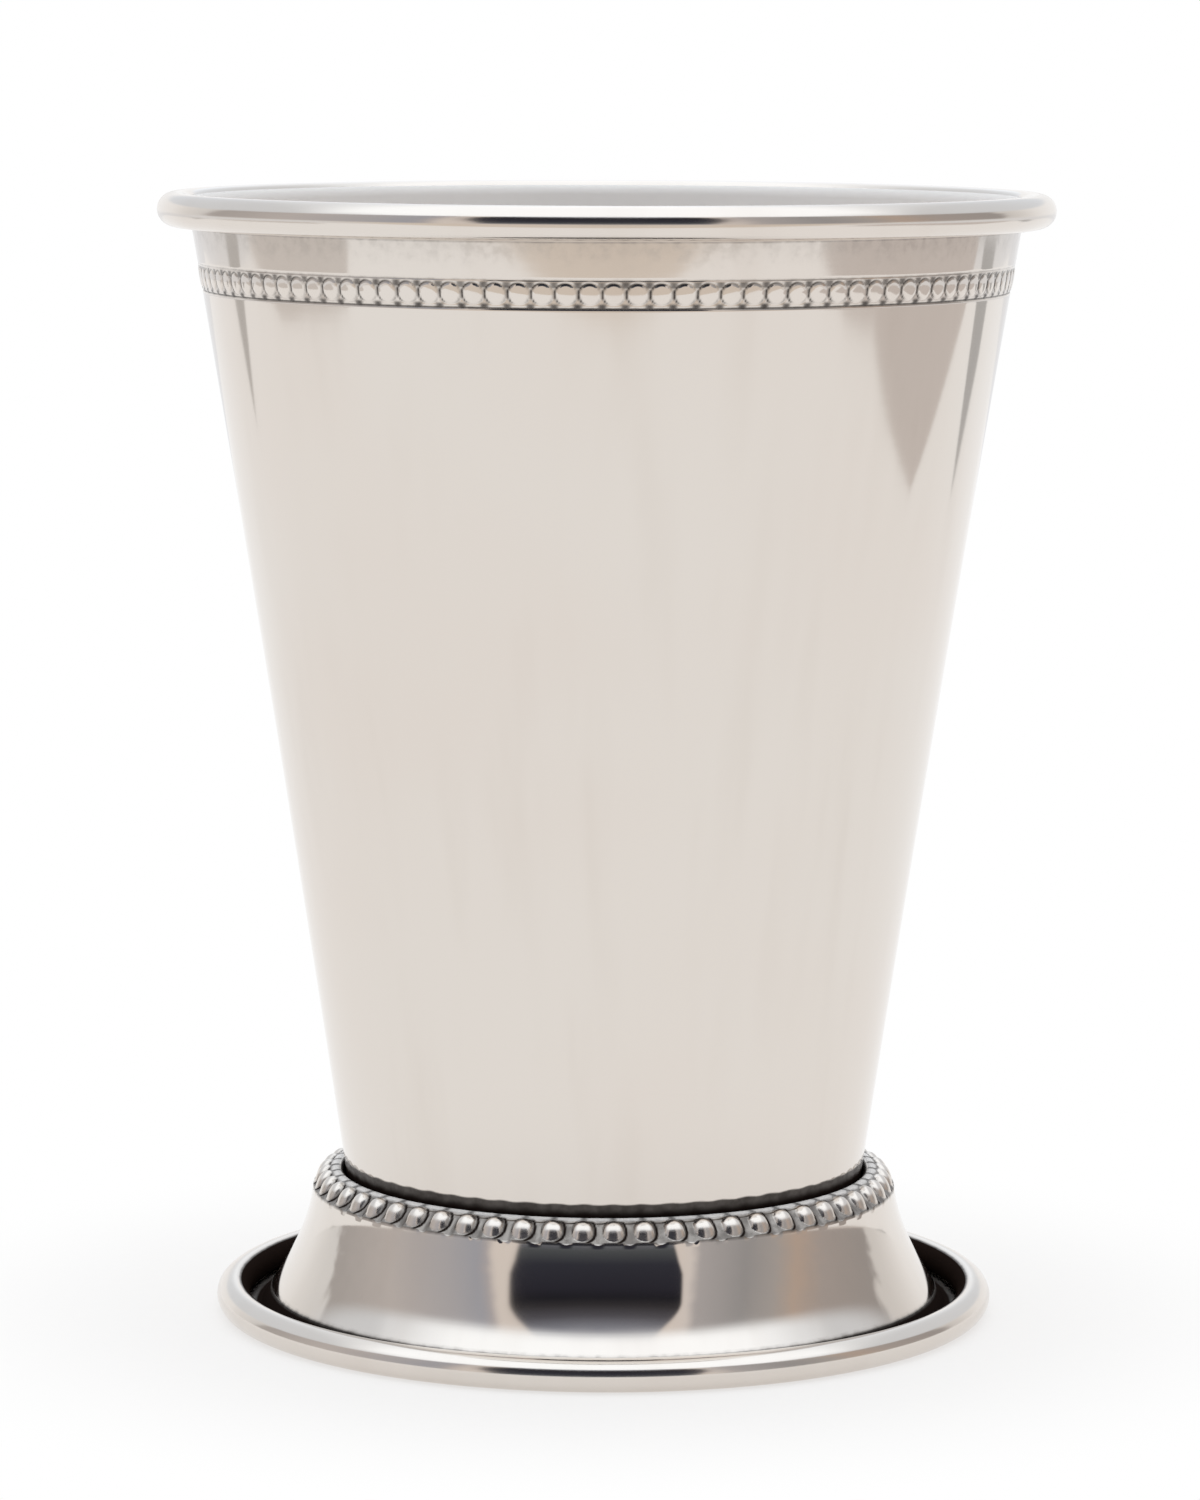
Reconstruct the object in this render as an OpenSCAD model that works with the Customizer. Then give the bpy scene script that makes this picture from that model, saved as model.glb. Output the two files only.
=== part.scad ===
// Julep cup: a tapered cup drawn from one sheet of metal, with a rolled rim and a
// pressed band, standing on a pressed foot with a beaded collar and a rolled edge.
// Millimetres, +Z up, origin on the table under the middle of the cup.

/* [Cup] */
// Height of the whole cup, from the table to the top of the rim
cup_h = 112.4; // [95:0.2:130]
// Diameter over the rolled rim
mouth_d = 88.9; // [80:0.1:100]
// Diameter of the wall where it drops into the collar of the foot
neck_d = 52.2; // [44:0.1:56]
// Thickness of the cup's sheet
cup_t = 0.6; // [0.4:0.05:0.8]
// How far the wall draws in at half height, against a straight cone
waist = 0.26; // [0:0.02:1]
// Outer radius of the corner between the wall and the floor
corner_r = 2.2; // [1.4:0.1:3]

/* [Rolled rim] */
// Height of the rolled rim
roll_h = 3.3; // [2.6:0.1:4.2]
// Width of the rolled rim, from the mouth outwards
roll_w = 3.7; // [3.4:0.05:4.8]
// How far the roll turns back up past its lowest point, in degrees
roll_turn = 36; // [20:1:40]

/* [Pressed band] */
// Depth of the middle of the band below the top of the rim
band_drop = 8.25; // [7:0.05:20]
// Width across one dome of the band
dome_d = 1.95; // [1.4:0.05:2]
// Height of a dome over the wall
dome_rise = 0.15; // [0.08:0.01:0.2]
// Spacing of the domes round the wall, from middle to middle
dome_pitch = 2.21; // [2.15:0.01:3]
// Distance of each scored line from the middle of the band
score_reach = 1.32; // [1.3:0.01:1.6]
// Width of a scored line
score_w = 0.3; // [0.15:0.01:0.34]

/* [Foot] */
// Height of the collar's lip over the table
foot_h = 14.58; // [12:0.1:18]
// Diameter over the rolled edge of the foot
foot_d = 78.2; // [76.4:0.1:90]
// Diameter of the skirt at its lower end, inside the rolled edge
skirt_d = 68.9; // [66:0.1:70]
// Diameter of the skirt at its upper end, under the shoulder
collar_d = 58.7; // [57:0.1:61]
// Thickness of the foot's sheet
foot_t = 0.6; // [0.4:0.05:0.65]
// Lean of the skirt from upright at its upper end, in degrees
skirt_top_turn = 6; // [0:0.5:10]
// Lean of the skirt from upright at its lower end, in degrees
skirt_low_turn = 31.5; // [24:0.5:34]
// Outer radius of the rolled edge
edge_r = 1.65; // [1.3:0.05:1.9]
// How far the edge rolls past its top, towards the skirt, in degrees
edge_turn = 115; // [95:1:118]

/* [Collar] */
// Height and width of the shoulder that carries the beads
shoulder_r = 1.91; // [1.6:0.01:2.2]
// Width across one bead
bead_w = 2; // [1.6:0.02:2.1]
// Height of a bead over the straight line from the lip to the skirt
bead_rise = 0.53; // [0.4:0.01:0.55]
// Spacing of the beads round the shoulder, from middle to middle
bead_pitch = 3.01; // [2.4:0.01:4]
// How much the shoulder bows out between the beads
shoulder_bow = 0.1; // [0.06:0.01:0.2]
// Gap between the collar's lip and the cup's wall
lip_gap = 0.15; // [0.1:0.01:0.3]
// Radius of the lip where it turns down beside the wall
lip_r = 0.65; // [0.65:0.05:0.8]
// Depth of the seat below the lip, to its upper face
seat_drop = 3.8; // [3:0.1:6]
// Diameter of the hole in the seat
seat_hole_d = 32; // [10:0.5:36]
// Bend radius between the seat and the socket, on the cup's side
seat_bend_r = 0.8; // [0.3:0.05:1]

/* [Solder] */
// Thickness of the solder between the cup's floor and the seat
solder_t = 0.2; // [0.1:0.05:0.4]
// Width of the ring of solder
solder_w = 4.5; // [2:0.1:5]

/* [Hidden] */

// Depth of each dome's root in the wall, as a share of the sheet
root_share = 0.6;
// Pull of the skirt's curve at its upper and lower end, as shares of its height
skirt_pull_shares = [0.41, 0.27];
// Length of a bead as a share of the shoulder's, and depth of its root as a share of the sheet
bead_length_share = 0.96;
bead_root_share = 0.5;
// Place of the first bead and of the first dome from +X, as shares of their spacings
bead_turn_share = 0.32;
dome_turn_share = 0.79;
// Radius inside the bend at the skirt's foot, as a share of the edge's radius
bend_share = 0.42;
// How far the skirt's section laps into the bend below it, in degrees
lap_turn = 12;
// Steps along the cup's wall and along the skirt
wall_steps = 12;
skirt_steps = 14;

mouth_r = mouth_d / 2;
rim_z = cup_h - roll_h / 2;
wall_top_r = mouth_r - roll_w + cup_t;
neck_r = neck_d / 2;

band_z = cup_h - band_drop;
band_half = score_reach + score_w;
band_low_r = wall_r(band_z - band_half);
band_high_r = wall_r(band_z + band_half);
band_r = (band_low_r + band_high_r) / 2;
band_lean = atan((band_high_r - band_low_r) / (2 * band_half));
dome_ball_r = (pow(dome_d / 2, 2) + pow(dome_rise, 2)) / (2 * dome_rise);
dome_root = cup_t * root_share;
dome_reach = min(dome_pitch, score_reach + dome_d / 2) / 2 - dome_rise / 10;
dome_count = round(2 * PI * band_r / dome_pitch);

seat_z = foot_h - seat_drop;
floor_z = seat_z + solder_t;
wall_slope = (wall_top_r - neck_r - 4 * waist) / (rim_z - foot_h);
wall_lean = atan(wall_slope);
corner_z = floor_z + corner_r;
corner_x = wall_r(corner_z - corner_r * sin(wall_lean)) - corner_r * cos(wall_lean);

socket_r = neck_r + lip_gap;
foot_r = foot_d / 2;
skirt_r = skirt_d / 2;
collar_r = collar_d / 2;
shoulder_x = collar_r - shoulder_r;
shoulder_z = foot_h - shoulder_r;
chord_half = shoulder_r / sqrt(2);
shoulder_arc_r = (pow(chord_half, 2) + pow(shoulder_bow, 2)) / (2 * shoulder_bow);
shoulder_back = (shoulder_arc_r - shoulder_bow - chord_half) / sqrt(2);
shoulder_half_turn = asin(chord_half / shoulder_arc_r);
bead_half = chord_half * bead_length_share;
bead_ball_r = (pow(bead_half, 2) + pow(bead_rise, 2)) / (2 * bead_rise);
bead_root = foot_t * bead_root_share;
bead_count = round(2 * PI * (shoulder_x + chord_half) / bead_pitch);

bend_r = edge_r * bend_share;
bend_z = bend_r + foot_t;
edge_x = foot_r - edge_r;
bend_x = skirt_r + bend_r * cos(skirt_low_turn);
skirt_low_z = bend_z - bend_r * sin(skirt_low_turn);
skirt_pulls = (shoulder_z - skirt_low_z) * skirt_pull_shares;
skirt_ctrl = [
  [collar_r, shoulder_z],
  [collar_r + skirt_pulls[0] * tan(skirt_top_turn), shoulder_z - skirt_pulls[0]],
  [skirt_r - skirt_pulls[1] * tan(skirt_low_turn), skirt_low_z + skirt_pulls[1]],
  [skirt_r, skirt_low_z]
];
solder_x = (seat_hole_d / 2 + corner_x - solder_w) / 2;

// Outer radius of the cup's wall at a height
function wall_r(z) =
  let (u = (z - foot_h) / (rim_z - foot_h))
  neck_r + (wall_top_r - neck_r) * u - 4 * waist * u * (1 - u);

// Point and direction of a curve with four control points
function curve(p, u) =
  pow(1 - u, 3) * p[0] + 3 * u * pow(1 - u, 2) * p[1]
  + 3 * pow(u, 2) * (1 - u) * p[2] + pow(u, 3) * p[3];
function heading(p, u) =
  pow(1 - u, 2) * (p[1] - p[0]) + 2 * u * (1 - u) * (p[2] - p[1]) + pow(u, 2) * (p[3] - p[2]);

// Point on a circle about a middle
function around(middle, r, turn) = middle + r * [cos(turn), sin(turn)];

// Section of a sheet that bends round a middle, from one angle to another
module bend(middle, r, t, from, to) {
  steps = ceil((to - from) / 45);
  translate(middle)
    intersection() {
      difference() {
        circle(r = r, $fn = 96);
        circle(r = r - t, $fn = 96);
      }
      polygon(concat([[0, 0]], [for (i = [0 : steps]) around([0, 0], 2 * r, from + (to - from) * i / steps)]));
    }
}

// Section of the cup's wall: its outer face up, then its inner face down
module wall_section() {
  low = around([corner_x, corner_z], corner_r, -wall_lean);
  low_inner = around([corner_x, corner_z], corner_r - cup_t, -wall_lean);
  band_low = band_z - band_half;
  heights = concat(
    [for (i = [1 : wall_steps]) low[1] + (band_low - low[1]) * i / wall_steps],
    [band_z + band_half, rim_z]
  );
  outer = [for (z = heights) [wall_r(z), z]];
  inner = [for (i = [len(heights) - 1 : -1 : 0]) [wall_r(heights[i]) - cup_t, heights[i]]];
  polygon(concat([low], outer, inner, [low_inner]));
}

// Section of the rolled rim, a hollow roll that closes up against the wall
module roll_section() {
  half = roll_h / 2;
  near = mouth_r - roll_w + half;
  far = mouth_r - half;
  bend([near, rim_z], half, cup_t, 90, 180);
  translate([near, cup_h - cup_t])
    square([far - near, cup_t]);
  bend([far, rim_z], half, cup_t, -90, 90);
  translate([near, cup_h - roll_h])
    square([far - near, cup_t]);
  bend([near, rim_z], half, cup_t, -90 - roll_turn, -90);
}

// One dome of the band, with its root in the wall
module dome() {
  rotate_extrude($fn = 48)
    intersection() {
      translate([0, dome_rise - dome_ball_r])
        circle(r = dome_ball_r, $fn = 96);
      translate([0, -dome_root])
        square([dome_reach, dome_root + dome_rise]);
    }
}

// Cup: floor, corner, tapered wall and rolled rim, all one sheet
module cup_body() {
  color("silver")
    difference() {
      union() {
        rotate_extrude($fn = 180) {
          translate([0, floor_z])
            square([corner_x, cup_t]);
          bend([corner_x, corner_z], corner_r, cup_t, -90, -wall_lean);
          wall_section();
          roll_section();
        }
        for (i = [0 : dome_count - 1])
          rotate([0, 0, 360 * (i + dome_turn_share) / dome_count])
            translate([band_r, 0, band_z])
              rotate([0, 90 + band_lean, 0])
                dome();
      }
      for (side = [-1, 1])
        rotate_extrude($fn = 180)
          translate([band_r + side * score_reach * tan(band_lean), band_z + side * score_reach])
            circle(d = score_w, $fn = 24);
    }
}

// Section of the foot: seat, socket, lip, shoulder, skirt and rolled edge
module foot_section() {
  seat_end = socket_r - seat_bend_r;
  lip_x = socket_r + lip_r;
  translate([seat_hole_d / 2, seat_z - foot_t])
    square([seat_end - seat_hole_d / 2, foot_t]);
  bend([seat_end, seat_z + seat_bend_r], seat_bend_r + foot_t, foot_t, -90, 0);
  translate([socket_r, seat_z + seat_bend_r])
    square([foot_t, foot_h - lip_r - seat_z - seat_bend_r]);
  bend([lip_x, foot_h - lip_r], lip_r, foot_t, 90, 180);
  translate([lip_x, foot_h - foot_t])
    square([shoulder_x - lip_x, foot_t]);
  bend([shoulder_x - shoulder_back, shoulder_z - shoulder_back], shoulder_arc_r, foot_t,
       45 - shoulder_half_turn, 45 + shoulder_half_turn);
  skirt_section();
  bend([bend_x, bend_z], bend_z, foot_t, 180 + skirt_low_turn, 270);
  translate([bend_x, 0])
    square([edge_x - bend_x, foot_t]);
  bend([edge_x, edge_r], edge_r, foot_t, -90, 90 + edge_turn);
}

// Section of the skirt: its outer face down, a point that laps into the bend, its inner face up
module skirt_section() {
  outer = [for (i = [0 : skirt_steps]) curve(skirt_ctrl, i / skirt_steps)];
  inner = [
    for (i = [skirt_steps : -1 : 0])
      let (way = heading(skirt_ctrl, i / skirt_steps), unit = way / norm(way))
      curve(skirt_ctrl, i / skirt_steps) + foot_t * [unit[1], -unit[0]]
  ];
  lap = around([bend_x, bend_z], bend_r + foot_t / 2, 180 + skirt_low_turn + lap_turn);
  polygon(concat(outer, [lap], inner));
}

// One bead, a long domed stud that stands on the shoulder
module bead() {
  end = bead_half - bead_w / 2;
  intersection() {
    translate([0, 0, bead_rise - bead_ball_r])
      sphere(r = bead_ball_r, $fn = 96);
    translate([0, 0, -bead_root])
      linear_extrude(bead_root + bead_rise)
        union() {
          square([2 * end, bead_w], center = true);
          for (side = [-1, 1])
            translate([side * end, 0])
              circle(d = bead_w, $fn = 48);
        }
  }
}

// Foot: one pressed sheet, with its beads raised on the shoulder
module foot_ring() {
  color("gainsboro")
    union() {
      rotate_extrude($fn = 180)
        foot_section();
      for (i = [0 : bead_count - 1])
        rotate([0, 0, 360 * (i + bead_turn_share) / bead_count])
          translate([collar_r - shoulder_r / 2, 0, foot_h - shoulder_r / 2])
            rotate([0, 45, 0])
              bead();
    }
}

// Solder: the thin ring that holds the cup's floor to the seat of the foot
module solder_ring() {
  color("gray")
    translate([0, 0, seat_z])
      rotate_extrude($fn = 128)
        translate([solder_x, 0])
          square([solder_w, solder_t]);
}

cup_body();
foot_ring();
solder_ring();
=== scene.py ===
import math

import bpy
import numpy as np
from mathutils import Matrix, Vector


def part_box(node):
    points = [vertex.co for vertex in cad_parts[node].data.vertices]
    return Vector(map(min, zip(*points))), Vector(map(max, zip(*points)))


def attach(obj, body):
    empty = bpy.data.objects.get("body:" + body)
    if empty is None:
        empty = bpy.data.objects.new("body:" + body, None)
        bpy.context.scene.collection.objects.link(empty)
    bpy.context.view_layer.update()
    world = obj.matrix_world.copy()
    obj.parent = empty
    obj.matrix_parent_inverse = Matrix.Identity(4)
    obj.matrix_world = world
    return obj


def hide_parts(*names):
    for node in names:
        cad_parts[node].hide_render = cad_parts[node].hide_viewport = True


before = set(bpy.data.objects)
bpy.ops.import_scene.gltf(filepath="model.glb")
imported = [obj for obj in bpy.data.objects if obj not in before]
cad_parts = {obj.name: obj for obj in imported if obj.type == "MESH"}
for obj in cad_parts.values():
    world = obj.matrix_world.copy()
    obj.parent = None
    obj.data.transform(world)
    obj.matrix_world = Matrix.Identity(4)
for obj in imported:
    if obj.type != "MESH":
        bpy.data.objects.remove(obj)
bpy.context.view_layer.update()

mm = 0.001


# Foot: one pressed sheet of polished metal. A seat and a socket hold the cup's end, a shoulder
# carries a row of long beads pressed out of the sheet, and the edge of the flared skirt is rolled
# outwards and up into the hollow ring that the cup stands on.
def arc(middle, radius, start, end, steps):
    turns = np.radians(np.linspace(start, end, steps + 1))
    return [(middle[0] + radius * math.cos(turn), middle[1] + radius * math.sin(turn)) for turn in turns]


def straight(start, end, steps):
    shares = np.linspace(0, 1, steps + 1)
    return [(start[0] + (end[0] - start[0]) * s, start[1] + (end[1] - start[1]) * s) for s in shares]


def pulled_curve(controls, steps):
    a, b, c, d = [np.array(point) for point in controls]
    shares = np.linspace(0, 1, steps + 1)[:, None]
    rest = 1 - shares
    points = a * rest ** 3 + 3 * b * shares * rest ** 2 + 3 * c * shares ** 2 * rest + d * shares ** 3
    return [tuple(point) for point in points]


def beside(points, distance):
    """The same run of points moved to its right."""
    run = np.array(points)
    way = np.gradient(run, axis=0)
    way /= np.linalg.norm(way, axis=1)[:, None]
    return [tuple(point) for point in run + distance * np.stack([way[:, 1], -way[:, 0]], 1)]


def joined(*runs):
    points = []
    for run in runs:
        for point in run:
            if not points or math.dist(point, points[-1]) > 1e-4:
                points.append(point)
    return points


def eased(low, high, value):
    share = np.clip((value - low) / (high - low), 0, 1)
    return share * share * (3 - 2 * share)


def hump(value, middle, width):
    return np.exp(-((value - middle) / width) ** 2)


def strongest(*marks):
    most = marks[0]
    for mark in marks[1:]:
        most = np.maximum(most, mark)
    return most


def off_nearest(turns, count, turn_share):
    """The turn of each point from the nearest bead or dome of a row of count."""
    pitch = 2 * math.pi / count
    return np.mod(turns - turn_share * pitch + pitch / 2, pitch) - pitch / 2


def spun_sheet(name, section, segments, pressing, closed):
    """Turns a section in millimetres about the cup's axis. pressing(r, z, turns) gives each point
    its pressed place and its marks, painted shade and a satin finish. An open section starts and ends in a
    point."""
    turns = np.arange(segments) * 2 * math.pi / segments
    rows = np.array(section)
    r, z, marks = pressing(rows[:, :1], rows[:, 1:], turns[None, :])
    points = np.stack([r * np.cos(turns), r * np.sin(turns), z], -1).reshape(-1, 3)
    across = np.arange(segments)
    following = np.roll(across, -1)
    faces = []
    for row in range(len(rows) if closed else len(rows) - 1):
        above = (row + 1) % len(rows)
        ring = [row * segments + across, row * segments + following]
        ring += [above * segments + following, above * segments + across]
        faces += np.stack(ring, 1).tolist()
    if not closed:
        last_row = (len(rows) - 1) * segments
        tip = len(points)
        points = np.concatenate([points, [[0, 0, rows[0, 1]], [0, 0, rows[-1, 1]]]])
        faces += [[tip, b, a] for a, b in zip(across.tolist(), following.tolist())]
        faces += [[tip + 1, last_row + a, last_row + b] for a, b in zip(across.tolist(), following.tolist())]
    mesh = bpy.data.meshes.new(name)
    mesh.from_pydata((points * mm).tolist(), [], faces)
    mesh.shade_smooth()
    for mark, amount in marks.items():
        amount = np.clip(amount + 0 * r, 0, 1).reshape(-1)
        amount = np.concatenate([amount, [amount[0], amount[-1]]])[:len(points)]
        mesh.attributes.new(mark, "FLOAT", "POINT").data.foreach_set("value", amount)
    piece = bpy.data.objects.new(name, mesh)
    bpy.context.scene.collection.objects.link(piece)
    return piece


foot_low, foot_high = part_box("foot_ring")
foot_h = foot_high.z / mm
foot_r = min(foot_high.x, foot_high.y, -foot_low.x, -foot_low.y) / mm
foot_t = 0.6
seat_z = 10.78
seat_hole_r = 16
seat_bend_r = 0.8
socket_r = 26.25
lip_r = 0.65
shoulder_r = 1.91
shoulder_x = 27.44
top_bend_r = 1.2
top_bend_in = 0.5
top_bend_end = 0.35
skirt_r = 34.45
skirt_top_turn = math.radians(6)
skirt_low_turn = 31.5
skirt_top_pull_share = 0.41
skirt_low_pull_share = 0.27
skirt_bend_r = 0.693
edge_r = 1.65
edge_end = 205
bead_count = 60
bead_segments = 24
bead_turn_share = 0.32
bead_length_share = 0.93
bead_w = 2
bead_rise = 0.53
bead_lean = 0.3
bead_side_power = 5
gap_half_w = 0.62
gap_depth = 0.17
gap_run = 1.2

shoulder_z = foot_h - shoulder_r
edge_x = foot_r - edge_r
bend_z = foot_t + skirt_bend_r
bend_x = skirt_r + skirt_bend_r * math.cos(math.radians(skirt_low_turn))
skirt_low_z = bend_z - skirt_bend_r * math.sin(math.radians(skirt_low_turn))
skirt_top = (shoulder_x + shoulder_r, shoulder_z)
top_pull = skirt_top_pull_share * (shoulder_z - skirt_low_z)
low_pull = skirt_low_pull_share * (shoulder_z - skirt_low_z)
skirt = pulled_curve([
    skirt_top,
    (skirt_top[0] + top_pull * math.tan(skirt_top_turn), shoulder_z - top_pull),
    (skirt_r - low_pull * math.tan(math.radians(skirt_low_turn)), skirt_low_z + low_pull),
    (skirt_r, skirt_low_z),
], 44)
seat_turn = (socket_r - seat_bend_r, seat_z + seat_bend_r)
lip_middle = (socket_r + lip_r, foot_h - lip_r)
bend_middle = (bend_x, bend_z)

foot_under = joined(
    straight((seat_hole_r + foot_t / 2, seat_z - foot_t), (seat_turn[0], seat_z - foot_t), 2),
    arc(seat_turn, seat_bend_r + foot_t, -90, 0, 6),
    straight((socket_r + foot_t, seat_turn[1]), (socket_r + foot_t, lip_middle[1]), 2),
    arc(lip_middle, lip_r - foot_t, 180, 90, 2),
    straight((shoulder_x, foot_h - foot_t), (skirt_top[0] - foot_t, shoulder_z), 3),
    beside(skirt, foot_t)[1::3],
    arc(bend_middle, bend_z, 180 + skirt_low_turn, 270, 8),
    arc((edge_x, edge_r), edge_r, -90, edge_end, 48),
)
edge_tip = (edge_x + (edge_r - foot_t / 2) * math.cos(math.radians(edge_end)),
            edge_r + (edge_r - foot_t / 2) * math.sin(math.radians(edge_end)))
foot_over = joined(
    arc((edge_x, edge_r), edge_r - foot_t, edge_end, -90, 18),
    arc(bend_middle, skirt_bend_r, 270, 180 + skirt_low_turn, 8),
    skirt[::-1],
    straight(skirt_top, (shoulder_x + top_bend_end, foot_h - top_bend_end), 26),
    arc((shoulder_x - top_bend_in, foot_h - top_bend_r), top_bend_r, 45, 90, 6),
    straight((shoulder_x - top_bend_in, foot_h), (lip_middle[0], foot_h), 1),
    arc(lip_middle, lip_r, 90, 180, 8),
    straight((socket_r, lip_middle[1]), (socket_r, seat_turn[1]), 4),
    arc(seat_turn, seat_bend_r, 0, -90, 6),
    straight((seat_turn[0], seat_z), (seat_hole_r + foot_t / 2, seat_z), 3),
)
foot_section = joined(
    foot_under,
    arc(edge_tip, foot_t / 2, edge_end, edge_end + 180, 6),
    foot_over,
    arc((seat_hole_r + foot_t / 2, seat_z - foot_t / 2), foot_t / 2, 90, 270, 6),
)

recess_dark = 0.97
notch_dark = 0.8
between_dark = 0.7
edge_satin = 0.35
bead_satin = 0.5


def press_foot(r, z, turns):
    # along runs down the slanting shoulder from its middle, and over is the height above it.
    slant = math.sqrt(0.5)
    half = shoulder_r * slant
    middle_r = shoulder_x + shoulder_r / 2
    middle_z = foot_h - shoulder_r / 2
    along = (r - middle_r) * slant - (z - middle_z) * slant
    over = (r - middle_r) * slant + (z - middle_z) * slant
    on_shoulder = (np.abs(over) < 0.12) & (np.abs(along) < half + 1e-3)
    on_skirt = (z < shoulder_z) & (z > shoulder_z - gap_run) & (over > -0.1) & (r > skirt_top[0] - 1e-6)

    # A bead is a leaning ball cut to a stud with steep sides, and the sheet dips between two.
    aside = off_nearest(turns, bead_count, bead_turn_share) * middle_r
    gap_middle = math.pi / bead_count * middle_r
    between = np.clip(1 - ((gap_middle - np.abs(aside)) / gap_half_w) ** 2, 0, 1)
    bead_half = bead_length_share * half
    ball_r = (bead_half ** 2 + bead_rise ** 2) / (2 * bead_rise)
    ball = np.sqrt(np.clip(ball_r ** 2 - along ** 2 - aside ** 2, 0, None)) - ball_r + bead_rise
    ball = ball * (1 - bead_lean * along)
    end = np.clip(np.abs(along) - (bead_half - bead_w / 2), 0, None)
    reach = np.hypot(end, aside) / (bead_w / 2)
    side = np.sqrt(np.clip(1 - reach ** bead_side_power, 0, 1))
    gap = -gap_depth * between * eased(-half, -0.4, along)
    bead = np.maximum(gap, ball * side + gap * (1 - side)) - over
    fade = np.clip(1 - (shoulder_z - z) / gap_run, 0, 1)
    move = np.where(on_shoulder, np.where(reach < 1, bead, gap), 0)
    move = move - np.where(on_skirt, gap_depth * between * fade, 0)

    # Painted shade lies round the root of each bead, most on one side, between two beads and on the skirt
    # just below them, but less on the shoulder's top.
    far_side = eased(-0.5, 0.9, aside)
    root = (0.4 + 0.8 * far_side) * hump(reach, 1.06 + 0.12 * far_side, 0.1 + 0.13 * far_side)
    unshaded_top = 0.85 * eased(-0.72 * half, -half, along) * (reach > 1.12)
    bead_shade = np.maximum(root, between_dark * (reach > 1)) * (1 - unshaded_top)
    skirt_shade = (0.5 + 0.3 * between) * fade
    shoulder_shade = np.where(on_shoulder, bead_shade, 0) + np.where(on_skirt, skirt_shade, 0)

    # Painted shade also lies in the lip and the socket, above each bead, in the trough and inside the edge.
    on_lip = (z > lip_middle[1]) * eased(lip_middle[0] - 0.25, lip_middle[0] - 0.4, r)
    in_socket = (z <= lip_middle[1]) * (r < lip_middle[0]) * (z > seat_z - 0.1)
    lip_top = (z > foot_h - 0.2) * eased(lip_middle[0] - 0.3, lip_middle[0] - 0.2, r)
    notch = notch_dark * lip_top * hump(aside, 0, 0.4)
    on_edge = np.abs(np.hypot(r - edge_x, z - edge_r) - edge_r) < 0.02
    inside_edge = on_edge * (z > 0.4) * eased(edge_x - 0.5, edge_x - 0.7, r)
    face_r = np.interp(z, [point[1] for point in skirt[::-1]], [point[0] for point in skirt[::-1]])
    in_trough = eased(2.6, 2.2, z) * (r < edge_x) * (r > face_r - 0.05) * (z > 0.3)
    recess = recess_dark * np.maximum(on_lip, in_socket)
    dark = strongest(shoulder_shade, notch, recess, inside_edge, in_trough)

    satin = strongest(edge_satin * on_edge, bead_satin * on_shoulder * (reach < 1), lip_top * (over < 0))
    return r + slant * move, z + slant * move, {"dark": dark, "satin": satin}


foot = spun_sheet("foot_ring_metal", foot_section, bead_count * bead_segments, press_foot, closed=True)


class Finish:
    """A material and the few nodes that the cup's finishes are made of."""

    def __init__(self, name):
        self.material = bpy.data.materials.new(name)
        self.material.use_nodes = True
        self.nodes = self.material.node_tree.nodes
        self.links = self.material.node_tree.links
        self.shader = self.nodes["Principled BSDF"]
        self.place = self.nodes.new("ShaderNodeTexCoord").outputs["Object"]

    def feed(self, socket, value):
        if isinstance(value, bpy.types.NodeSocket):
            self.links.new(value, socket)
        else:
            socket.default_value = value

    def calc(self, operation, *values):
        node = self.nodes.new("ShaderNodeMath")
        node.operation = operation
        for socket, value in zip(node.inputs, values):
            self.feed(socket, value)
        return node.outputs[0]

    def spread(self, value, low, high, to_low, to_high, shape="SMOOTHSTEP"):
        node = self.nodes.new("ShaderNodeMapRange")
        node.interpolation_type = shape
        for socket, given in zip(node.inputs, (value, low, high, to_low, to_high)):
            self.feed(socket, given)
        return node.outputs[0]

    def noise(self, place, scale, detail=2, depth=None):
        node = self.nodes.new("ShaderNodeTexNoise")
        self.feed(node.inputs["Vector"], place)
        node.inputs["Scale"].default_value = scale
        node.inputs["Detail"].default_value = detail
        if depth is not None:
            node.noise_dimensions = "4D"
            self.feed(node.inputs["W"], depth)
        return node.outputs["Fac"]

    def blend(self, share, first, second, how="MIX"):
        node = self.nodes.new("ShaderNodeMix")
        node.data_type = "RGBA"
        node.blend_type = how
        self.feed(node.inputs[0], share)
        self.feed(node.inputs[6], first)
        self.feed(node.inputs[7], second)
        return node.outputs[2]

    def mark(self, name):
        node = self.nodes.new("ShaderNodeAttribute")
        node.attribute_name = name
        return node.outputs["Fac"]

    def bump(self, height, distance):
        node = self.nodes.new("ShaderNodeBump")
        node.inputs["Distance"].default_value = distance
        self.feed(node.inputs["Height"], height)
        self.feed(self.shader.inputs["Normal"], node.outputs[0])

    def round_noise(self, around, along, detail):
        """Noise that runs round the cup, from coarse to fine as around and along grow."""
        split = self.nodes.new("ShaderNodeSeparateXYZ")
        self.feed(split.inputs[0], self.place)
        x, y, z = split.outputs
        reach = self.calc("SQRT", self.calc("ADD", self.calc("MULTIPLY", x, x), self.calc("MULTIPLY", y, y)))
        safe = self.calc("MAXIMUM", reach, 0.0005)
        merge = self.nodes.new("ShaderNodeCombineXYZ")
        self.feed(merge.inputs[0], self.calc("MULTIPLY", self.calc("DIVIDE", x, safe), around))
        self.feed(merge.inputs[1], self.calc("MULTIPLY", self.calc("DIVIDE", y, safe), around))
        self.feed(merge.inputs[2], self.calc("MULTIPLY", z, along))
        return self.noise(merge.outputs[0], 1, detail, depth=self.calc("MULTIPLY", reach, along))


sheet_tint = (0.73, 0.68, 0.63, 1)
sheet_warm_tint = (0.72, 0.655, 0.6, 1)
satin_tint = (0.97, 0.94, 0.91, 1)
wipe_and_shade_tint = (0.018, 0.012, 0.01, 1)
turning_line_mm = 0.0005
foot_wave_mm = 0.02


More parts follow.
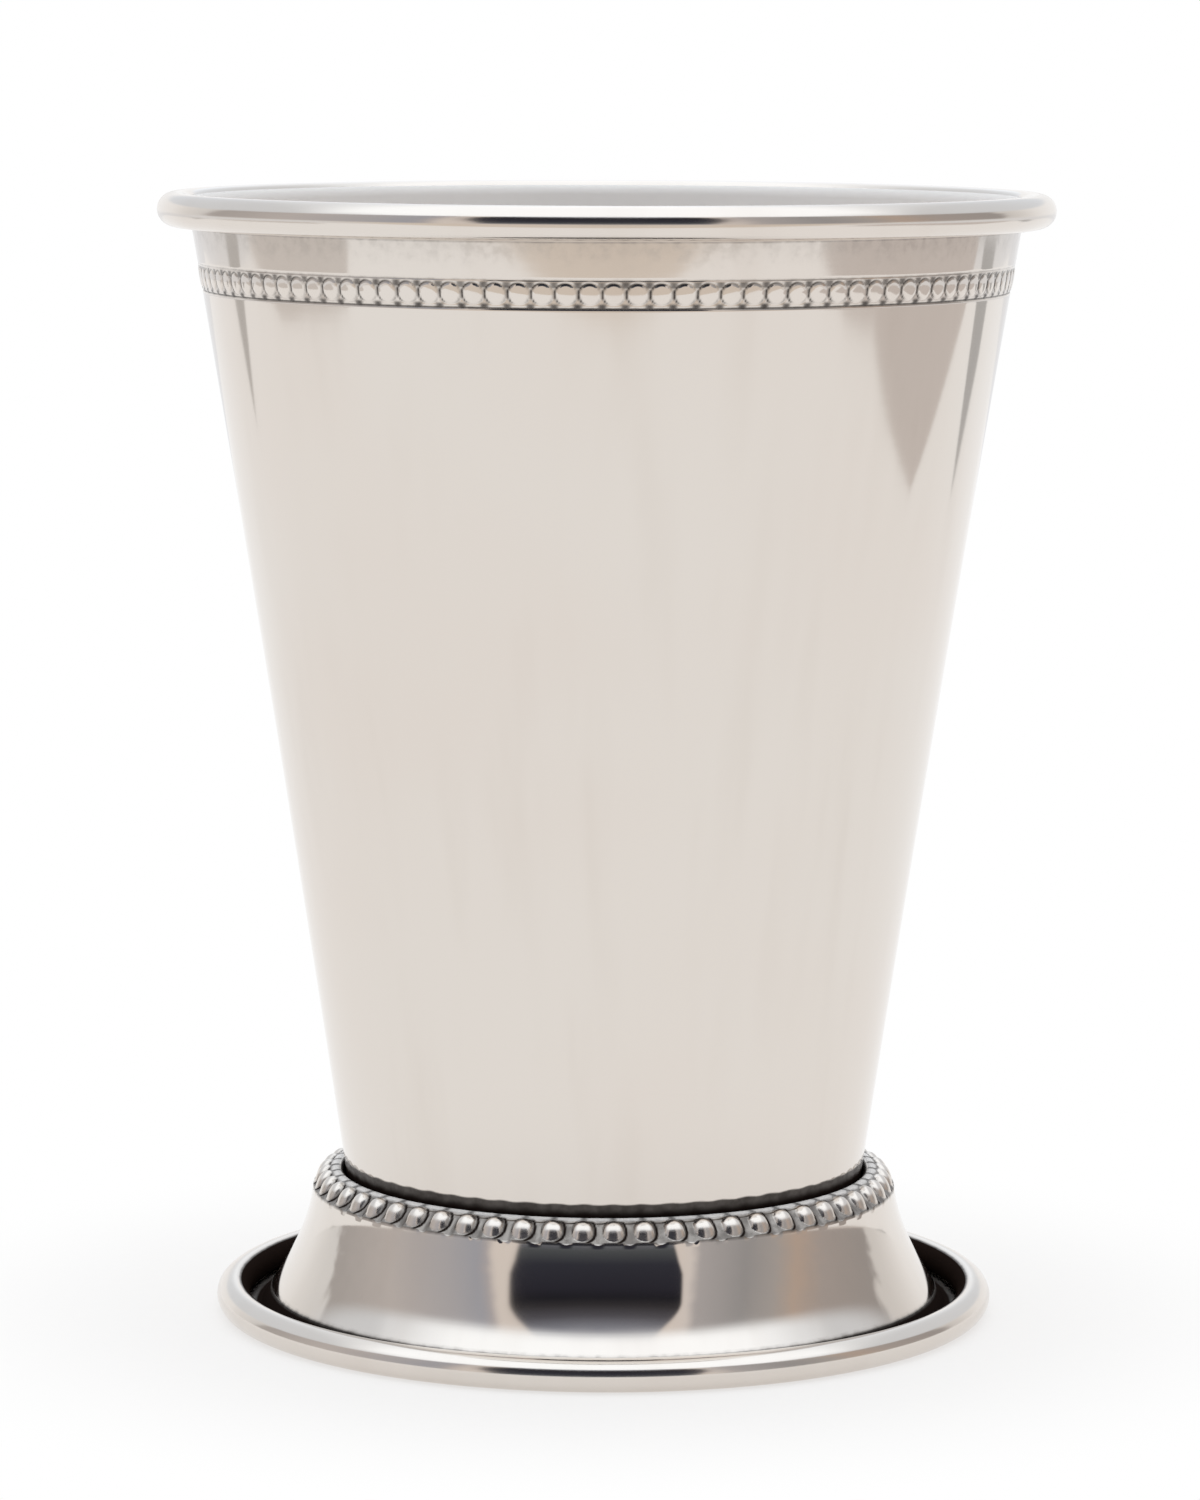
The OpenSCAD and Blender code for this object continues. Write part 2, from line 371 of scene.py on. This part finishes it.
def polished_metal(name, wave_mm):
    """Polished sheet with turning lines, slow waves and wiping marks, a satin finish where it is
    marked as such, and painted shade in its recesses where it is marked dark."""
    finish = Finish(name)
    shader = finish.shader
    satin = finish.mark("satin")
    lines = finish.round_noise(around=0.35, along=1400, detail=3)
    waves = finish.round_noise(around=4.5, along=14, detail=1)
    wipes = finish.round_noise(around=7, along=30, detail=3)
    clouds = finish.noise(finish.place, scale=30)
    mottle = finish.noise(finish.place, scale=900, detail=3)

    # The dark mark is painted shade: it blends the colour towards near black and turns off the shine.
    painted_shade = finish.calc("POWER", finish.mark("dark"), finish.spread(mottle, 0.3, 0.7, 1.5, 0.8))
    colour = finish.blend(finish.spread(clouds, 0.35, 0.7, 0, 0.6), sheet_tint, sheet_warm_tint)
    colour = finish.blend(finish.spread(wipes, 0.45, 0.8, 0, 0.12), colour, wipe_and_shade_tint, "SOFT_LIGHT")
    colour = finish.blend(finish.spread(satin, 0.5, 1, 0, 1), colour, satin_tint)
    finish.feed(shader.inputs["Base Color"], finish.blend(painted_shade, colour, wipe_and_shade_tint))

    bare = finish.spread(painted_shade, 0.6, 1, 1, 0)
    bright = finish.spread(satin, 0.5, 1, 1, 0.2)
    finish.feed(shader.inputs["Metallic"], finish.calc("MULTIPLY", bare, bright))
    finish.feed(shader.inputs["Specular IOR Level"], finish.calc("MULTIPLY", bare, 0.5))
    worn = finish.spread(wipes, 0.3, 0.75, 0.05, 0.09)
    frosted = finish.calc("MULTIPLY", finish.calc("MULTIPLY", satin, satin), 0.6)
    dull = finish.calc("ADD", finish.calc("MULTIPLY", painted_shade, 0.3), frosted)
    finish.feed(shader.inputs["Roughness"], finish.calc("ADD", worn, dull))
    height = finish.calc("MULTIPLY", waves, wave_mm)
    finish.bump(finish.calc("ADD", height, finish.calc("MULTIPLY", lines, turning_line_mm)), mm)
    return finish.material


foot.data.materials.append(polished_metal("foot_metal", foot_wave_mm))
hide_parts("foot_ring")
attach(foot, "root")


# Solder: a thin flat ring of dull grey solder between the seat of the foot and the floor of the
# cup. It is run in when the two are joined, and holds the cup in the foot.
solder_tint = (0.42, 0.42, 0.41, 1)
solder_dark_tint = (0.3, 0.29, 0.28, 1)
solder_relief = 0.03 * mm

solder_finish = Finish("solder")
solder_shader = solder_finish.shader
solder_shader.inputs["Metallic"].default_value = 1
flow = solder_finish.noise(solder_finish.place, scale=350, detail=4)
grain = solder_finish.noise(solder_finish.place, scale=2600)
flow_share = solder_finish.spread(flow, 0.3, 0.7, 0, 1)
solder_colour = solder_finish.blend(flow_share, solder_tint, solder_dark_tint)
solder_finish.feed(solder_shader.inputs["Base Color"], solder_colour)
solder_finish.feed(solder_shader.inputs["Roughness"], solder_finish.spread(grain, 0.3, 0.7, 0.35, 0.55))
solder_finish.bump(solder_finish.calc("ADD", flow, grain), solder_relief)
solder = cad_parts["solder_ring"]
solder.data.materials.clear()
solder.data.materials.append(solder_finish.material)


# Cup: floor, tapered wall and rolled rim, drawn from one sheet of the same polished metal. Near
# the top, two scored lines frame a row of small domes that are pressed into the wall.
cup_low, cup_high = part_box("cup_body")
cup_h = cup_high.z / mm
mouth_r = min(cup_high.x, cup_high.y, -cup_low.x, -cup_low.y) / mm
floor_z = cup_low.z / mm
cup_t = 0.6
neck_r = 26.1
waist = 0.26
corner_r = 2.2
roll_h = 3.3
roll_w = 3.7
roll_end = -126
band_drop = 8.25
band_half = 1.75
dome_count = 114
dome_segments = 12
dome_turn_share = 0.79
dome_r = 0.99
dome_crown = 0.06
dome_step = 0.04
dome_step_power = 14
root_depth = 0.035
score_reach = 1.32
score_half = 0.16
score_depth = 0.13
cup_wave_mm = 0.012

rim_z = cup_h - roll_h / 2
band_z = cup_h - band_drop
wall_top_r = mouth_r - roll_w + cup_t
roll_near = (mouth_r - roll_w + roll_h / 2, rim_z)
roll_far = (mouth_r - roll_h / 2, rim_z)


def wall_r(z):
    share = (z - foot_h) / (rim_z - foot_h)
    return neck_r + (wall_top_r - neck_r) * share - 4 * waist * share * (1 - share)


def wall_run(low, high, steps, inset=0):
    heights = np.linspace(low, high, steps + 1)
    return [(wall_r(z) - inset, z) for z in heights]


lean_low_z = 12
lean_high_z = 30
wall_lean = math.atan((wall_r(lean_high_z) - wall_r(lean_low_z)) / (lean_high_z - lean_low_z))
wall_lean_degrees = math.degrees(wall_lean)
corner_z = floor_z + corner_r
corner_low = corner_z - corner_r * math.sin(wall_lean)
corner = (wall_r(corner_low) - corner_r * math.cos(wall_lean), corner_z)
roll_tip = (roll_near[0] + (roll_h / 2 - cup_t / 2) * math.cos(math.radians(roll_end)),
            roll_near[1] + (roll_h / 2 - cup_t / 2) * math.sin(math.radians(roll_end)))
cup_outside = joined(
    straight((1, floor_z), (corner[0], floor_z), 3),
    arc(corner, corner_r, -90, -wall_lean_degrees, 8),
    wall_run(corner_low, foot_h - 0.1, 4),
    wall_run(foot_h, foot_h + 1.5, 18),
    wall_run(foot_h + 2, band_z - band_half, 30),
    wall_run(band_z - band_half, band_z + band_half, 46),
    wall_run(band_z + band_half, rim_z, 10),
)
cup_inside = joined(
    arc(roll_near, roll_h / 2 - cup_t, 180, 90, 6),
    arc(roll_far, roll_h / 2 - cup_t, 90, -90, 12),
    arc(roll_near, roll_h / 2 - cup_t, -90, roll_end, 3),
    arc(roll_tip, cup_t / 2, roll_end + 180, roll_end, 4),
    arc(roll_near, roll_h / 2, roll_end, -90, 6),
    arc(roll_far, roll_h / 2, -90, 90, 40),
    arc(roll_near, roll_h / 2, 90, 180, 20),
    wall_run(rim_z, corner_low, 14, inset=cup_t),
    arc(corner, corner_r - cup_t, -wall_lean_degrees, -90, 8),
    straight((corner[0], floor_z + cup_t), (1, floor_z + cup_t), 4),
)

score_dark = 0.9
high_score_dark = 0.3
low_corner_dark = 0.85
high_corner_dark = 0.75
under_roll_dark = 0.9
under_roll_drop = 1.75
below_roll_shade_dark = 0.12
below_roll_shade_drop = 4.5
roll_satin = 0.35
inside_satin = 0.78


def press_cup(r, z, turns):
    # The domes stand out of the wall, and a shallow dip runs round each one and along each score.
    on_wall = np.abs(r - wall_r(z)) < 1e-3
    on_band = on_wall & (np.abs(z - band_z) <= band_half)
    up = z - band_z
    aside = off_nearest(turns, dome_count, dome_turn_share) * wall_r(band_z)
    out = np.hypot(aside, up) / dome_r
    dome = dome_crown * (1 - out ** 2) + dome_step * (1 - out ** dome_step_power)
    root = hump(out, 1.05, 0.11)
    low_score = hump(up, -score_reach, 0.6 * score_half)
    high_score = hump(up, score_reach, 0.5 * score_half)
    dips = root_depth * root * (1 - low_score - high_score) + score_depth * (low_score + 0.4 * high_score)
    move = np.where(on_band, np.where(out < 1, dome, 0) - dips, 0)

    # Painted shade outlines the domes, most on one side, fills the corners between them and darkens the
    # scored lines.
    near_side = eased(0.5, -0.9, aside)
    outline = (0.45 + 0.55 * near_side) * root * eased(-1.05, -0.7, up)
    corner_share = (out > 1.02) * (np.abs(up) < score_reach + 0.05) * eased(0.45, 0.95, np.abs(aside))
    low_corner = eased(-0.7, -1.05, up) * corner_share
    high_corner = eased(0.4, 0.7, up) * eased(1.25, 1.05, up) * corner_share
    band_shade = strongest(
        outline,
        low_corner_dark * low_corner,
        high_corner_dark * high_corner,
        score_dark * low_score,
        high_score_dark * high_score,
    )

    # Painted shade also lies under the roll and fades out below it, and painted shade and reflection lie
    # where the wall enters the foot, waved along its top with the beads.
    under_roll = (z > rim_z - under_roll_drop) & (z < rim_z + 1)
    under_roll &= (r < roll_near[0] - 0.5) & (r > wall_r(z) - cup_t / 2)
    roll_shade = under_roll_dark * under_roll * eased(rim_z - under_roll_drop, rim_z - 1.45, z)
    below_roll_shade = below_roll_shade_dark * on_wall * eased(rim_z - below_roll_shade_drop, rim_z - 2, z)
    above_lip = z - foot_h - 0.05 * np.cos(bead_count * turns - 2 * math.pi * bead_turn_share)
    in_socket = 0.9 * eased(1.3, 1.1, above_lip) + 0.1 * eased(0.8, 0, above_lip)
    foot_shade = in_socket * (r > wall_r(z) - 0.1)
    dark = strongest(np.where(on_band, band_shade, 0), roll_shade, below_roll_shade, foot_shade)

    inside = (r < wall_r(z) - cup_t / 2) & (r < wall_top_r + 0.01) & (z > floor_z + 0.3)
    on_roll = (z > rim_z - roll_h / 2 - 0.01) & (r > roll_near[0])
    satin = inside_satin + (1 - inside_satin) * eased(rim_z - 40, rim_z - 12, z)
    satin = np.where(inside, satin, roll_satin * on_roll)
    return r + move * math.cos(wall_lean), z - move * math.sin(wall_lean), {"dark": dark, "satin": satin}


cup_section = cup_outside + cup_inside
cup = spun_sheet("cup_body_metal", cup_section, dome_count * dome_segments, press_cup, closed=False)
cup.data.materials.append(polished_metal("cup_metal", cup_wave_mm))
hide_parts("cup_body")
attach(cup, "root")


# Table: a plain sheet of white card with square edges, that the cup stands on. It is pure white
# away from the cup, and keeps a faint shadow close to it.
table_side = 0.49
table_front = -0.295
table_back = 0.9
shadow_from = 0.04
shadow_to = 0.08
shadow_white_share = 0.62

table_mesh = bpy.data.meshes.new("table")
table_mesh.from_pydata([
    (-table_side, table_front, 0),
    (table_side, table_front, 0),
    (table_side, table_back, 0),
    (-table_side, table_back, 0),
], [], [(0, 1, 2, 3)])
table = bpy.data.objects.new("table", table_mesh)
bpy.context.scene.collection.objects.link(table)
table_finish = Finish("white_card")
table_shader = table_finish.shader
table_shader.inputs["Roughness"].default_value = 0.9
table_shader.inputs["Specular IOR Level"].default_value = 0
away = table_finish.nodes.new("ShaderNodeVectorMath")
away.operation = "LENGTH"
table_finish.feed(away.inputs[0], table_finish.place)
far = table_finish.spread(away.outputs["Value"], shadow_from, shadow_to, shadow_white_share, 1)
fibre = table_finish.noise(table_finish.place, scale=700, detail=3)
fibre_share = table_finish.spread(fibre, 0.3, 0.7, 0, 1)
table_colour = table_finish.blend(fibre_share, (0.97, 0.93, 0.89, 1), (0.98, 0.94, 0.9, 1))
table_finish.feed(table_shader.inputs["Base Color"], table_finish.blend(far, table_colour, (0, 0, 0, 1)))
table_shader.inputs["Emission Color"].default_value = (1, 1, 1, 1)
table_finish.feed(table_shader.inputs["Emission Strength"], far)
table.data.materials.append(table_finish.material)


# Flags: grey felt cards that lie on the table outside the view. The camera can't see them, and
# only the polished metal shows them.
def flag(name, corners, shade):
    flag_mesh = bpy.data.meshes.new(name)
    flag_mesh.from_pydata([(x * mm, y * mm, 0.5 * mm) for x, y in corners], [], [tuple(range(len(corners)))])
    card = bpy.data.objects.new(name, flag_mesh)
    bpy.context.scene.collection.objects.link(card)
    finish = Finish(name)
    finish.shader.inputs["Base Color"].default_value = (0, 0, 0, 1)
    finish.shader.inputs["Specular IOR Level"].default_value = 0
    finish.shader.inputs["Emission Strength"].default_value = 1
    felt = finish.noise(finish.place, scale=60, detail=3)
    lighter = tuple(1.1 * part for part in shade[:3]) + (1,)
    finish.feed(finish.shader.inputs["Emission Color"], finish.blend(felt, shade, lighter))
    card.data.materials.append(finish.material)
    card.visible_camera = False
    card.visible_diffuse = False
    card.visible_shadow = False


flag("grey_flag_right", [
    (325, 80), (335, -10), (350, -70), (320, -125), (305, -190), (560, -190), (560, 330),
    (515, 335), (455, 270), (380, 160),
], (0.66, 0.62, 0.6, 1))
flag("grey_flag_left", [
    (-395, 10), (-350, -90), (-370, -115), (-560, -115), (-560, 235), (-500, 235), (-420, 95),
], (0.7, 0.67, 0.65, 1))
flag("grey_flag_back_right", [(325, 290), (525, 390), (525, 540), (415, 440)], (0.5, 0.5, 0.5, 1))
flag("grey_flag_back_left", [(-375, 280), (-480, 390), (-545, 440), (-530, 312)], (0.55, 0.54, 0.53, 1))


# Studio: a white tent with grey sides, a bright roof that comes down behind the cup, and a dark
# opening in front for the camera. The camera itself sees plain white.
class Studio(Finish):
    """The same few nodes for the light all round."""

    def __init__(self, world):
        self.nodes = world.node_tree.nodes
        self.links = world.node_tree.links
        self.place = self.nodes.new("ShaderNodeTexCoord").outputs["Generated"]

    def ramp(self, value, low, high, stops):
        node = self.nodes.new("ShaderNodeValToRGB")
        elements = node.color_ramp.elements
        while len(elements) < len(stops):
            elements.new(0.5)
        for element, (place, shade) in zip(elements, stops):
            element.position = (place - low) / (high - low)
        for element, (place, shade) in zip(elements, stops):
            element.color = shade + (1,)
        self.feed(node.inputs[0], self.spread(value, low, high, 0, 1, "LINEAR"))
        return node.outputs[0]


studio = bpy.data.worlds.new("studio")
bpy.context.scene.world = studio
studio.use_nodes = True
tent = Studio(studio)

# side_turn is 0 in front and 180 behind, and climb is the height above the table, in degrees.
split = tent.nodes.new("ShaderNodeSeparateXYZ")
tent.feed(split.inputs[0], tent.place)
east, north, up = split.outputs
side_turn = tent.calc("DEGREES", tent.calc("ARCTAN2", east, tent.calc("MULTIPLY", north, -1)))
turn_off = tent.calc("ABSOLUTE", side_turn)
climb = tent.calc("DEGREES", tent.calc("ARCSINE", up))

# The sides are grey cloth with soft folds, warm in places, between white cloth in front and behind.
fold_reach = tent.spread(turn_off, 60, 110, 3, 14)
folds = tent.calc("MULTIPLY", tent.calc("SUBTRACT", tent.noise(tent.place, 10, 3), 0.5), fold_reach)
sky = tent.ramp(tent.calc("ADD", side_turn, folds), -180, 180, [
    (-180, (0.95, 0.94, 0.93)), (-122, (0.82, 0.82, 0.82)), (-119, (0.48, 0.46, 0.45)),
    (-90, (0.6, 0.57, 0.56)), (-62, (0.5, 0.5, 0.53)), (-50, (0.43, 0.45, 0.51)),
    (-46, (0.5, 0.48, 0.5)), (-43, (0.83, 0.77, 0.73)), (-33, (0.86, 0.8, 0.76)),
    (28, (0.84, 0.78, 0.74)), (34, (0.8, 0.76, 0.74)), (38, (0.5, 0.49, 0.5)),
    (57, (0.38, 0.38, 0.39)), (70, (0.46, 0.44, 0.43)), (80, (0.56, 0.46, 0.39)),
    (92, (0.46, 0.42, 0.4)), (119, (0.4, 0.38, 0.37)), (122, (0.78, 0.77, 0.76)), (180, (0.95, 0.94, 0.93)),
])

# The opening widens upwards and has round upper corners.
above = tent.calc("MAXIMUM", tent.calc("SUBTRACT", climb, 12), 0)
opening_middle = tent.calc("SUBTRACT", -2.6, tent.calc("MULTIPLY", above, 0.025))
opening_half = tent.spread(climb, 2, 20, 30, 33, "LINEAR")
opening_half = tent.calc("ADD", opening_half, tent.calc("MULTIPLY", above, 0.09))
corner_climb = tent.calc("MAXIMUM", tent.calc("SUBTRACT", climb, 34), 0)
corner_cut = tent.calc("MULTIPLY", tent.calc("MULTIPLY", corner_climb, corner_climb), 0.07)
opening_half = tent.calc("SUBTRACT", opening_half, corner_cut)
opening_off = tent.calc("ABSOLUTE", tent.calc("SUBTRACT", side_turn, opening_middle))
opening = tent.spread(tent.calc("SUBTRACT", opening_off, opening_half), -0.8, 0.8, 1, 0)
opening = tent.calc("MULTIPLY", opening, tent.spread(climb, -6, 2, 0, 1))
opening_shade = tent.ramp(climb, 0, 50, [
    (0, (0.17, 0.18, 0.22)), (5, (0.09, 0.1, 0.11)), (14, (0.038, 0.04, 0.055)), (28, (0.028, 0.028, 0.04)),
    (33, (0.018, 0.018, 0.024)), (36.5, (0.04, 0.038, 0.043)), (41, (0.1, 0.1, 0.12)),
    (45.5, (0.28, 0.3, 0.36)),
])
sky = tent.blend(opening, sky, opening_shade)

# The low part behind the cup is white. The roof slopes down to it, and is brightest in the middle.
back = tent.calc("MULTIPLY", tent.spread(turn_off, 125, 150, 0, 1), tent.spread(climb, 14, 24, 1, 0))
sky = tent.blend(back, sky, (1, 1, 1, 1))
roof_tilt = math.radians(18.6)
roof = tent.calc("MULTIPLY", north, math.sin(roof_tilt))
roof = tent.calc("ADD", roof, tent.calc("MULTIPLY", up, math.cos(roof_tilt)))
roof_side = tent.calc("MULTIPLY", tent.calc("MAXIMUM", north, 0), 0.8)
roof_side = tent.calc("ADD", roof_side, tent.calc("ABSOLUTE", east))
roof_middle = tent.spread(roof_side, 0.62, 0.95, 1, 0)
roof_shade = tent.blend(roof_middle, (0.8, 0.84, 0.89, 1), (1.34, 1.42, 1.5, 1))
sky = tent.blend(tent.spread(roof, 0.45, 0.505, 0, 1), sky, roof_shade)

# Below the table's edges the metal sees the studio's floor.
below_shade = tent.blend(tent.spread(turn_off, 50, 85, 0, 1), (0.8, 0.73, 0.66, 1), (0.87, 0.88, 0.9, 1))
sky = tent.blend(tent.spread(climb, -5, -1, 1, 0), sky, below_shade)
rays = tent.nodes.new("ShaderNodeLightPath")
sky = tent.blend(rays.outputs["Is Camera Ray"], sky, (1, 1, 1, 1))
tent.feed(tent.nodes["Background"].inputs["Color"], sky)


# Camera: a long lens a little above the rim, half a metre in front of the cup. It looks slightly
# down, and is turned by a fifth of a degree as in the photo.
camera_data = bpy.data.cameras.new("camera")
camera_data.lens = 136.78
camera_data.sensor_width = 36
camera = bpy.data.objects.new("camera", camera_data)
camera_place = Matrix.Translation((-0.506 * mm, -566.741 * mm, 129.184 * mm))
camera_pitch = Matrix.Rotation(math.radians(82.713), 4, "X")
camera_roll = Matrix.Rotation(math.radians(0.176), 4, "Z")
camera.matrix_world = camera_place @ camera_pitch @ camera_roll
bpy.context.scene.collection.objects.link(camera)
bpy.context.scene.camera = camera
bpy.context.scene.view_settings.view_transform = "Standard"
